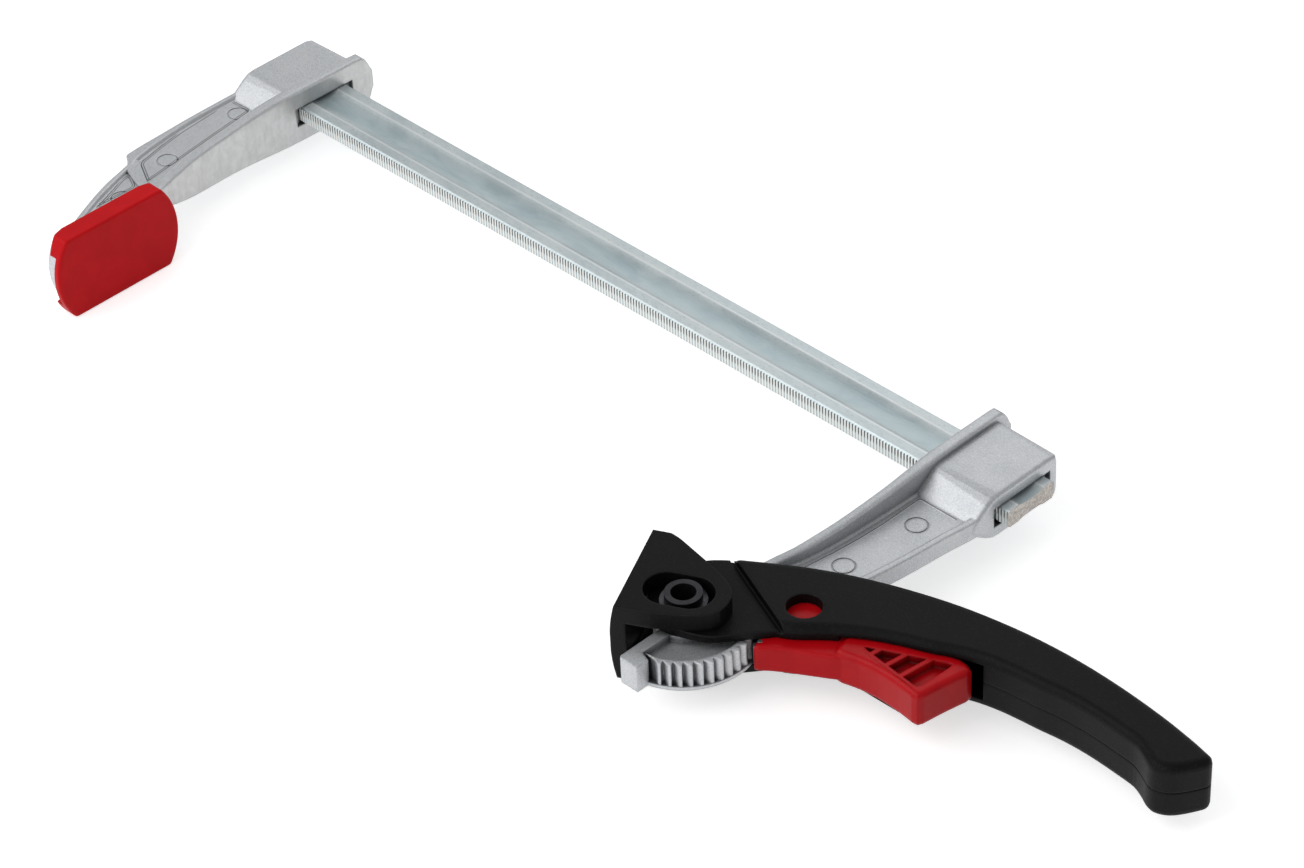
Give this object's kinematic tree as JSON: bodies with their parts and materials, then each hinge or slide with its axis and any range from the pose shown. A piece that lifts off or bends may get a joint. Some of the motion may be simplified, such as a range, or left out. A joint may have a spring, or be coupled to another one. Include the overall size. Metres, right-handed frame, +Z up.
{
  "type": "lever clamp",
  "caption": "Ratcheting hand lever clamp: a serrated flat rail, a fixed arm with a padded head, and a sliding arm with a tilting jaw, a hand lever and a release trigger.",
  "frame": {"origin": "centre of the fixed pad's clamping face", "axes": "+X out of the fixed pad towards the sliding jaw, along the rail; +Y from the jaws towards the rail; +Z up out of the clamp's middle plane"},
  "size_m": [0.4482, 0.1525, 0.0294],
  "materials": {
    "iron": "satin silver coat on fine-grained casting",
    "zinc_rail": "zinc plated",
    "steel": "plain",
    "red_plastic": "semi gloss",
    "black_plastic": "fine matte grain",
    "dark_steel": "blackened"
  },
  "bodies": {
    "frame": {"rail": "zinc_rail", "rail_stop_pin": "steel", "fixed_arm": "iron", "rail_lock_pin": "steel", "pad_cap": "red_plastic"},
    "slider": {"sliding_arm": "iron", "grip_pin_inner": "steel", "grip_pin_outer": "steel", "pivot_rivet": "dark_steel", "thrust_washers": "steel"},
    "lever": {"lever_shell_upper": "black_plastic", "lever_shell_lower": "black_plastic", "lever_screws": "steel", "trigger_spring": "steel"},
    "release": {"trigger": "red_plastic", "pawl": "steel", "pawl_pin": "steel"},
    "jaw_guide": {"slide_bush_upper": "dark_steel", "slide_bush_lower": "dark_steel"},
    "tilting_jaw": {"jaw": "black_plastic"}
  },
  "joints": [
    {"name": "arm_slide", "type": "slide", "parent": "frame", "child": "slider", "axis": [1, 0, 0], "range_m": [-0.23, 0]},
    {"name": "lever_swing", "type": "hinge", "parent": "slider", "child": "lever", "pos_m": [0.2593, -0.0057, 0], "axis": [0, 0, 1], "range_deg": [-80, 0]},
    {"name": "trigger_swing", "type": "hinge", "parent": "lever", "child": "release", "pos_m": [0.28533, 0.01582, 0], "axis": [0, 0, 1], "range_deg": [0, 8], "stiffness_Nm_per_rad": 0.4, "springref_deg": -17.19},
    {"name": "jaw_swivel", "type": "hinge", "parent": "slider", "child": "jaw_guide", "pos_m": [0.2593, -0.0057, 0], "axis": [0, 0, 1], "range_deg": [-35, 8]},
    {"name": "jaw_thrust", "type": "slide", "parent": "jaw_guide", "child": "tilting_jaw", "axis": [-0.8942, -0.4478, 0], "range_m": [-0.0031, 0]}
  ],
  "couplings": [
    {"joint": "jaw_thrust", "follows": "lever_swing", "m_per_rad": 0.0021486}
  ]
}
